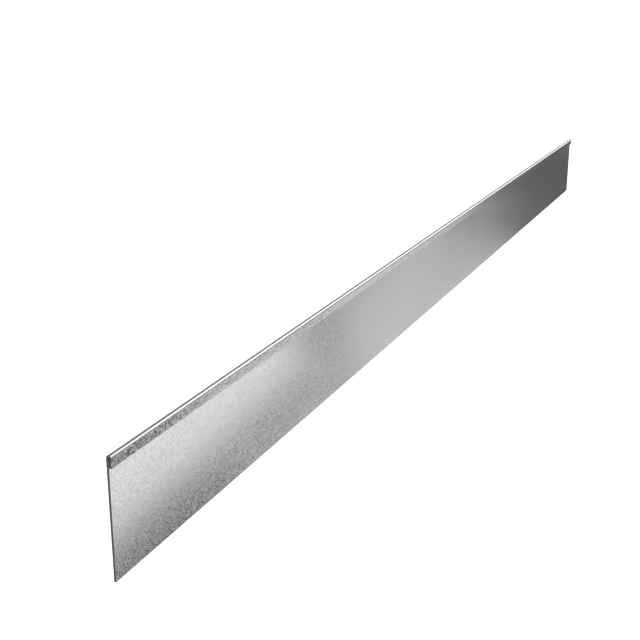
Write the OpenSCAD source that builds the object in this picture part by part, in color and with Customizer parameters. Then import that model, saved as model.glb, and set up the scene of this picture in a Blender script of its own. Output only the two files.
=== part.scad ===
// Steel lawn edging: one strip of galvanised sheet with its top edge folded over as a hem.
// The strip lies on its back: X runs along it, +Y points to the fold and +Z is the front.
// The origin is on the floor, under the middle of the strip.

/* [Strip] */
// Length of the strip
strip_l = 2000; // [300:10:3000]
// Height of the strip, from its lower edge to the top of the fold
strip_h = 130; // [60:1:300]
// Thickness of the galvanised sheet
sheet_t = 2.5; // [1:0.1:4]
// Rounding of the corners along the two cut long edges
edge_r = 0.4; // [0.1:0.05:0.45]

/* [Folded top edge] */
// Depth of the fold, from the top of the bend to the edge of the lip
hem_depth = 13; // [10:0.5:30]
// Inner radius of the bend
bend_ri = 0.5; // [0.3:0.05:1.5]
// Gap left between the edge of the lip and the front of the sheet
hem_mouth = 0.2; // [0.1:0.05:0.6]

/* [Hidden] */
round_fn = 96;
sheet_colour = "#b4b7b8";
// The lip's faces lie this far inside the bend's, so that they meet it in a clean line
lip_inset = 0.001;
// The sheet turns over about this centre, with the outside of the bend flush with the back and the top
bend_ro = bend_ri + sheet_t;
bend_y = strip_h / 2 - bend_ro;
// The lip leaves the bend on a tangent and leans in until its edge is the mouth's gap from the sheet
lip_reach = hem_depth - bend_ro;
lip_drop = bend_ri - hem_mouth;
lip_span = sqrt(lip_reach * lip_reach + lip_drop * lip_drop);
lip_l = sqrt(lip_span * lip_span - bend_ri * bend_ri);
lip_lean = atan2(lip_drop, lip_reach) + asin(bend_ri / lip_span);

// A flat run of sheet that comes to an end at x = 0, from a cut edge with rounded corners
module flat_run(run) {
    translate([edge_r - run, 0])
        square([run - edge_r, sheet_t]);
    translate([-run, edge_r])
        square([edge_r, sheet_t - 2 * edge_r]);
    for (corner = [edge_r, sheet_t - edge_r])
        translate([edge_r - run, corner])
            circle(r = edge_r, $fn = round_fn);
}

// The teardrop gap inside the fold, as far as the bend reaches: its round, and the space between
// the sheet's front and the lip
module hem_gap() {
    circle(r = bend_ri, $fn = round_fn);
    translate([-bend_ro, -bend_ri])
        square([bend_ro, bend_ri]);
    intersection() {
        rotate(lip_lean)
            translate([-bend_ro, 0])
                square([bend_ro, bend_ri - lip_inset]);
        translate([-2 * bend_ro, -bend_ri])
            square(2 * bend_ro);
    }
}

// The strip's section, about the centre of the bend: the flat sheet, the bend and the lip
module section() {
    difference() {
        union() {
            circle(r = bend_ro, $fn = round_fn);
            translate([0, -bend_ro])
                flat_run(bend_y + strip_h / 2);
            rotate(lip_lean)
                translate([0, bend_ri - lip_inset])
                    flat_run(lip_l);
        }
        hem_gap();
    }
}

module edging_strip() {
    color(sheet_colour)
        translate([-strip_l / 2, bend_y, bend_ro])
            rotate([90, 0, 90])
                linear_extrude(strip_l)
                    section();
}

edging_strip();
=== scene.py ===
import math

import bmesh
import bpy
from mathutils import Matrix, Vector


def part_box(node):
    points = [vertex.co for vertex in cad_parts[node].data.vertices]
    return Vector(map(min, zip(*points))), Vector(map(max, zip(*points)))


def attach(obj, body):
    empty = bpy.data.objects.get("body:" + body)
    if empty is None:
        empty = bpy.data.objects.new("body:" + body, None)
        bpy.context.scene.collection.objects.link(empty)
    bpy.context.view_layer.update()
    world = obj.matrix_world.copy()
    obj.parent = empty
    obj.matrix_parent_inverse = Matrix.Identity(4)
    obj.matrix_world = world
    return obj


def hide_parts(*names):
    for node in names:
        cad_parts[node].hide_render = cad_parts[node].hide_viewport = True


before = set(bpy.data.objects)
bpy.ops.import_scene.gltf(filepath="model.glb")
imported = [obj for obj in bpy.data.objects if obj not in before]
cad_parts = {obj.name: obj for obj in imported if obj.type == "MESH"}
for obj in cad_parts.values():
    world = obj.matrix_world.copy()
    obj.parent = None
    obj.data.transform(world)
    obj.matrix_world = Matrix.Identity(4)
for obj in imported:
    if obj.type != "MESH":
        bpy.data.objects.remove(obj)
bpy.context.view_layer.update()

# Edging strip
# One strip of hot-dip galvanised steel sheet, sheared to length and height. Its top long edge is folded
# over in a press as a hem, so the sheet, the bend and the lip are one piece. It lies on its back.
MM = 0.001
strip_low, strip_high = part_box("edging_strip")
strip_l = strip_high.x - strip_low.x
sheet_t = 2.5 * MM
hem_depth = 13 * MM
hem_mouth = 0.2 * MM
long_cut_round = 0.4 * MM
end_cut_round = 0.2 * MM
round_steps = 3
bend_steps = 28

# The outside of the bend is flush with the back and the top, and the lip leaves it on a tangent
bend_ro = (strip_high.z - strip_low.z) / 2
bend_ri = bend_ro - sheet_t
bend_centre = Vector((strip_low.x, strip_high.y - bend_ro, strip_low.z + bend_ro))
lip_reach = hem_depth - bend_ro
lip_drop = bend_ri - hem_mouth
lip_span = math.hypot(lip_reach, lip_drop)
lip_l = math.sqrt(lip_span ** 2 - bend_ri ** 2)
lip_lean = math.atan2(lip_drop, lip_reach) + math.asin(bend_ri / lip_span)
lip_way = Vector((0, -math.cos(lip_lean), -math.sin(lip_lean)))


def draw_out(shape, edge, way):
    """Extrudes one edge of the section along a way and gives back the new edge."""
    made = bmesh.ops.extrude_edge_only(shape, edges=[edge])["geom"]
    corners = [item for item in made if isinstance(item, bmesh.types.BMVert)]
    bmesh.ops.translate(shape, vec=way, verts=corners)
    return next(side for side in corners[0].link_edges if side.other_vert(corners[0]) in corners)


section = bmesh.new()
back_corner = section.verts.new(strip_low)
front_corner = section.verts.new(strip_low + Vector((0, 0, sheet_t)))
lower_cut = section.edges.new((back_corner, front_corner))
bend_start = draw_out(section, lower_cut, Vector((0, bend_centre.y - strip_low.y, 0)))
turned = bmesh.ops.spin(
    section, geom=[bend_start, *bend_start.verts], cent=bend_centre, axis=(1, 0, 0),
    angle=math.pi + lip_lean, steps=bend_steps)["geom_last"]
bend_end = next(item for item in turned if isinstance(item, bmesh.types.BMEdge))
draw_out(section, bend_end, lip_l * lip_way)

# The section is pulled out to the strip's length
pulled = bmesh.ops.extrude_face_region(section, geom=section.faces[:])["geom"]
far_end = [item for item in pulled if isinstance(item, bmesh.types.BMVert)]
bmesh.ops.translate(section, vec=(strip_l, 0, 0), verts=far_end)
bmesh.ops.recalc_face_normals(section, faces=section.faces[:])

# The cut edges are broken, those along the strip more than those round its two ends
sharp_angle = math.radians(60)


def sharp_edges(shape, lengthwise):
    """The sharp edges of the strip that run along its length, or else those round its two ends."""
    found = []
    for edge in shape.edges:
        first, last = edge.verts
        runs_along = abs(last.co.x - first.co.x) > strip_l / 2
        if runs_along == lengthwise and edge.calc_face_angle() > sharp_angle:
            found.append(edge)
    return found


for round_size, lengthwise in ((long_cut_round, True), (end_cut_round, False)):
    bmesh.ops.bevel(
        section, geom=sharp_edges(section, lengthwise), offset=round_size, offset_type="OFFSET",
        affect="EDGES", segments=round_steps, profile=0.5, material=-1)

# The faces of both ends and of the two long cuts are bare steel, told by the way that they point
ZINC, BARE = 0, 1
end_pointing = 0.3
long_cut_pointing = 0.95
for face in section.faces:
    face.smooth = True
    at_end = abs(face.normal.x) > end_pointing
    on_long_cut = face.normal.y < -long_cut_pointing
    face.material_index = BARE if at_end or on_long_cut else ZINC


def add_piece(name, shape):
    """Puts a finished shape into the scene as an object."""
    mesh = bpy.data.meshes.new(name)
    shape.to_mesh(mesh)
    shape.free()
    piece = bpy.data.objects.new(name, mesh)
    bpy.context.scene.collection.objects.link(piece)
    return piece


# The large flat faces set the shading, so that they stay level right up to their rounded edges
strip = add_piece("galvanised_strip", section)
level_shading = strip.modifiers.new("level_shading", "WEIGHTED_NORMAL")
level_shading.weight = 100


def linear(hex_colour):
    """An sRGB hex colour as linear red, green, blue and alpha."""
    parts = [int(hex_colour[i:i + 2], 16) / 255 for i in (1, 3, 5)]
    return [c / 12.92 if c <= 0.04045 else ((c + 0.055) / 1.055) ** 2.4 for c in parts] + [1.0]


def new_material(name):
    """A new material, with its tree of nodes and its shader."""
    material = bpy.data.materials.new(name)
    material.use_nodes = True
    return material, material.node_tree, material.node_tree.nodes["Principled BSDF"]


def add_node(tree, kind, inputs=None, **settings):
    """Adds a node with its settings, and sets or links each of its named or numbered inputs."""
    node = tree.nodes.new(kind)
    for name, value in settings.items():
        setattr(node, name, value)
    for name, value in (inputs or {}).items():
        if isinstance(value, bpy.types.NodeSocket):
            tree.links.new(value, node.inputs[name])
        else:
            node.inputs[name].default_value = value
    return node


# The colour sockets of a Mix node share their names with its other sockets, so they go by number
MIX_SHARE, MIX_FIRST, MIX_SECOND, MIX_OUT = 0, 6, 7, 2

# Hot-dip zinc: a satin grey metal in small crystals, each with its own gloss, shade and slight tilt.
# They show as a fine grain where the light changes, and the zinc looks smooth where the light is even.
# On the lip, which the press has worked, the crystals differ more; the bend has a painted highlight.
crystal_size = 1.1 * MM
crystal_tilt = 0.012
crystal_middle = (0.5, 0.5, 0.5)
glossy_roughness = 0.1
dull_roughness = 0.265
sheet_dark, sheet_pale = "#bfbfbf", "#cdcdcd"
lip_dark, lip_pale = "#9e9e9e", "#ececec"
# A painted highlight: the paler zinc colour laid over the bend
bend_highlight_paint = "#fcfcfc"
lip_edge_y = strip_high.y - hem_depth
lip_fade = 0.5 * MM
bend_fade = 1.0 * MM

zinc, tree, shader = new_material("hot_dip_zinc")
shader.inputs["Metallic"].default_value = 1.0
place = add_node(tree, "ShaderNodeTexCoord").outputs["Object"]
crystals = add_node(
    tree, "ShaderNodeTexVoronoi", {"Vector": place, "Scale": 1 / crystal_size}).outputs["Color"]

# Each crystal's random colour, taken as a way, leans its face
centred = add_node(
    tree, "ShaderNodeVectorMath", {0: crystals, 1: crystal_middle}, operation="SUBTRACT").outputs[0]
lean = add_node(
    tree, "ShaderNodeVectorMath", {0: centred, "Scale": crystal_tilt}, operation="SCALE").outputs[0]
level = add_node(tree, "ShaderNodeNewGeometry").outputs["Normal"]
tilted = add_node(tree, "ShaderNodeVectorMath", {0: level, 1: lean}, operation="ADD").outputs[0]
facing = add_node(tree, "ShaderNodeVectorMath", {0: tilted}, operation="NORMALIZE").outputs[0]
tree.links.new(facing, shader.inputs["Normal"])

# The red of that colour sets its shade and its gloss: the paler crystals are the duller ones
crystal = add_node(tree, "ShaderNodeSeparateColor", {"Color": crystals}).outputs["Red"]
across = add_node(tree, "ShaderNodeSeparateXYZ", {"Vector": place}).outputs["Y"]
on_lip = add_node(
    tree, "ShaderNodeMapRange",
    {"Value": across,
     "From Min": lip_edge_y - lip_fade, "From Max": lip_edge_y + lip_fade}).outputs["Result"]
on_bend = add_node(
    tree, "ShaderNodeMapRange",
    {"Value": across,
     "From Min": bend_centre.y, "From Max": bend_centre.y + bend_fade}).outputs["Result"]
dark_crystal = add_node(
    tree, "ShaderNodeMix",
    {MIX_SHARE: on_lip, MIX_FIRST: linear(sheet_dark), MIX_SECOND: linear(lip_dark)},
    data_type="RGBA").outputs[MIX_OUT]
pale_crystal = add_node(
    tree, "ShaderNodeMix",
    {MIX_SHARE: on_lip, MIX_FIRST: linear(sheet_pale), MIX_SECOND: linear(lip_pale)},
    data_type="RGBA").outputs[MIX_OUT]
grained = add_node(
    tree, "ShaderNodeMix",
    {MIX_SHARE: crystal, MIX_FIRST: dark_crystal, MIX_SECOND: pale_crystal},
    data_type="RGBA").outputs[MIX_OUT]
# Painted highlight: the zinc is made paler over the bend, so that its reflected line shows white
shade = add_node(
    tree, "ShaderNodeMix",
    {MIX_SHARE: on_bend, MIX_FIRST: grained, MIX_SECOND: linear(bend_highlight_paint)},
    data_type="RGBA").outputs[MIX_OUT]
tree.links.new(shade, shader.inputs["Base Color"])
satin = add_node(
    tree, "ShaderNodeMapRange",
    {"Value": crystal, "To Min": glossy_roughness, "To Max": dull_roughness}).outputs["Result"]
tree.links.new(satin, shader.inputs["Roughness"])

# Sheared steel: the bare core of the sheet, torn rather than polished, so it is dull and dark. The
# tear is finer on a real cut, and is drawn this coarse so that it shows.
tear_size = 0.8 * MM
tear_detail = 3.0
tear_roughness = 0.55
tear_dark, tear_pale = "#909090", "#b8b8b8"

sheared, tree, shader = new_material("sheared_steel")
shader.inputs["Metallic"].default_value = 1.0
shader.inputs["Roughness"].default_value = tear_roughness
place = add_node(tree, "ShaderNodeTexCoord").outputs["Object"]
tear = add_node(
    tree, "ShaderNodeTexNoise",
    {"Vector": place, "Scale": 1 / tear_size, "Detail": tear_detail}).outputs["Fac"]
shade = add_node(
    tree, "ShaderNodeMix",
    {MIX_SHARE: tear, MIX_FIRST: linear(tear_dark), MIX_SECOND: linear(tear_pale)},
    data_type="RGBA").outputs[MIX_OUT]
tree.links.new(shade, shader.inputs["Base Color"])

strip.data.materials.append(zinc)
strip.data.materials.append(sheared)
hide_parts("edging_strip")
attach(strip, "root")

# Studio floor
# A plain floor, painted matt white, that the strip lies on and that fills every view. It is kept out of
# the steel's mirror image, where the dim lower half of the room shows instead.
floor_side = 120.0
floor_white = "#ededed"
floor_roughness = 0.9
floor_shine = 0.1

floor_shape = bmesh.new()
bmesh.ops.create_grid(floor_shape, x_segments=1, y_segments=1, size=floor_side / 2)
floor = add_piece("studio_floor", floor_shape)
matt_white, tree, shader = new_material("matt_white_floor")
shader.inputs["Base Color"].default_value = linear(floor_white)
shader.inputs["Roughness"].default_value = floor_roughness
shader.inputs["Specular IOR Level"].default_value = floor_shine
floor.data.materials.append(matt_white)
floor.visible_glossy = False

# Studio light
# Soft panels stand round the strip, flagged off the floor so that they light the steel alone, and it
# mirrors them as soft bright bands. A wide light overhead, flagged off the steel, whitens the floor.
down = Vector((0, 0, -1))
to_near_end = Vector((-1, 0, 0))
to_fold = Vector((0, 1, 0))
leaning_over = Vector((-0.532, 0.463, -0.708))


def shine_only_on(light, piece):
    """Flags a light off everything but one piece."""
    lit = bpy.data.collections.new(light.name + "_shines_on")
    lit.objects.link(piece)
    light.light_linking.receiver_collection = lit


def add_panel(name, centre, facing, width, height, radiance, roll=0):
    """A soft panel of even radiance that lights the strip, turned by roll degrees in its own plane."""
    light = bpy.data.lights.new(name, "AREA")
    light.shape = "RECTANGLE"
    light.size = width
    light.size_y = height
    light.energy = radiance * math.pi * width * height
    panel = bpy.data.objects.new(name, light)
    panel.matrix_world = (
        Matrix.Translation(centre)
        @ (-facing).to_track_quat("Z", "Y").to_matrix().to_4x4()
        @ Matrix.Rotation(math.radians(roll), 4, "Z"))
    shine_only_on(panel, strip)
    bpy.context.scene.collection.objects.link(panel)


# These give the sheet its bright near end and the slow fall of light towards its far end
add_panel(
    "near_panel", centre=(0.62, -1.23, 1.5), facing=down,
    width=3.76, height=0.44, radiance=1.5, roll=5)
add_panel(
    "far_panel", centre=(4.0, -2.1, 1.94), facing=to_near_end,
    width=2.6, height=0.33, radiance=0.37, roll=-24)
add_panel(
    "end_panel", centre=(4.2, -1.37, 1.47), facing=to_near_end,
    width=0.79, height=1.25, radiance=0.46, roll=33)
add_panel(
    "dim_panel", centre=(4.5, -0.64, 1.19), facing=to_near_end,
    width=0.57, height=0.2, radiance=0.27)

# These give the lip its light and the bend its white line. The second leans over from beyond the far
# end, so that the line keeps an even width along the strip.
add_panel(
    "lip_panel", centre=(4.5, -2.21, 1.61), facing=to_near_end,
    width=2.73, height=0.56, radiance=0.69, roll=-46)
add_panel(
    "hem_panel", centre=(3.88, 3.02, 1.52), facing=leaning_over,
    width=7.0, height=2.75, radiance=0.96, roll=13.4)

# These light the strip for someone who looks at it from behind or from above
add_panel(
    "back_panel", centre=(1.0, -3.0, 1.05), facing=to_fold,
    width=4.0, height=1.9, radiance=0.45)
add_panel(
    "top_panel", centre=(-0.5, -0.4, 2.0), facing=down,
    width=2.6, height=0.5, radiance=0.35)

# The light for the floor is wide and soft, and casts no shadow
overhead_strength = 3.7
overhead_spread = math.radians(50)
soft_sun = bpy.data.lights.new("overhead", "SUN")
soft_sun.energy = overhead_strength
soft_sun.angle = overhead_spread
soft_sun.use_shadow = False
overhead = bpy.data.objects.new("overhead", soft_sun)
shine_only_on(overhead, floor)
bpy.context.scene.collection.objects.link(overhead)

# The room that the steel mirrors is bright on the near side, dim on the far side and dim below. Seen
# straight it is plain white.
far_way = (1.0, -0.6, 0.0)
bright_until, dim_from = -0.6, 0.9
room_bright, room_dim, room_below = 0.8, 0.123, 0.17
horizon_fade = 0.05
backdrop_white = 1.0

world = bpy.data.worlds.new("studio")
world.use_nodes = True
tree = world.node_tree
background = tree.nodes["Background"]
background.inputs["Color"].default_value = linear("#ffffff")
way = add_node(tree, "ShaderNodeTexCoord").outputs["Generated"]
beyond = add_node(
    tree, "ShaderNodeVectorMath", {0: way, 1: far_way}, operation="DOT_PRODUCT").outputs["Value"]
walls = add_node(
    tree, "ShaderNodeMapRange",
    {"Value": beyond, "From Min": bright_until, "From Max": dim_from,
     "To Min": room_bright, "To Max": room_dim}).outputs["Result"]
upward = add_node(tree, "ShaderNodeSeparateXYZ", {"Vector": way}).outputs["Z"]
room = add_node(
    tree, "ShaderNodeMapRange",
    {"Value": upward, "From Min": -horizon_fade, "From Max": horizon_fade,
     "To Min": room_below, "To Max": walls}).outputs["Result"]
seen = add_node(tree, "ShaderNodeLightPath").outputs["Is Camera Ray"]
glow = add_node(
    tree, "ShaderNodeMapRange",
    {"Value": seen, "To Min": room, "To Max": backdrop_white}).outputs["Result"]
tree.links.new(glow, background.inputs["Strength"])
bpy.context.scene.world = world
bpy.context.scene.view_settings.view_transform = "Standard"

# Camera
# The photo shows the strip standing on its lower edge. The camera is placed as for that, and then laid
# over with the strip, so it looks down on it and the picture is the same.
camera_place = Vector((-1.742, -0.5388, 0.487))
camera_turn = math.radians(23.892)
camera_dip = math.radians(18.191)
lens_pixels = 1097.5
picture_pixels = 640
lay_over = Matrix.Rotation(math.radians(-90), 4, "X")

lens = bpy.data.cameras.new("camera")
lens.sensor_width = 36.0
lens.lens = lens_pixels / picture_pixels * lens.sensor_width
camera = bpy.data.objects.new("camera", lens)
camera.matrix_world = (
    lay_over
    @ Matrix.Translation(camera_place)
    @ Matrix.Rotation(camera_turn - math.pi / 2, 4, "Z")
    @ Matrix.Rotation(math.pi / 2 - camera_dip, 4, "X"))
bpy.context.scene.collection.objects.link(camera)
bpy.context.scene.camera = camera
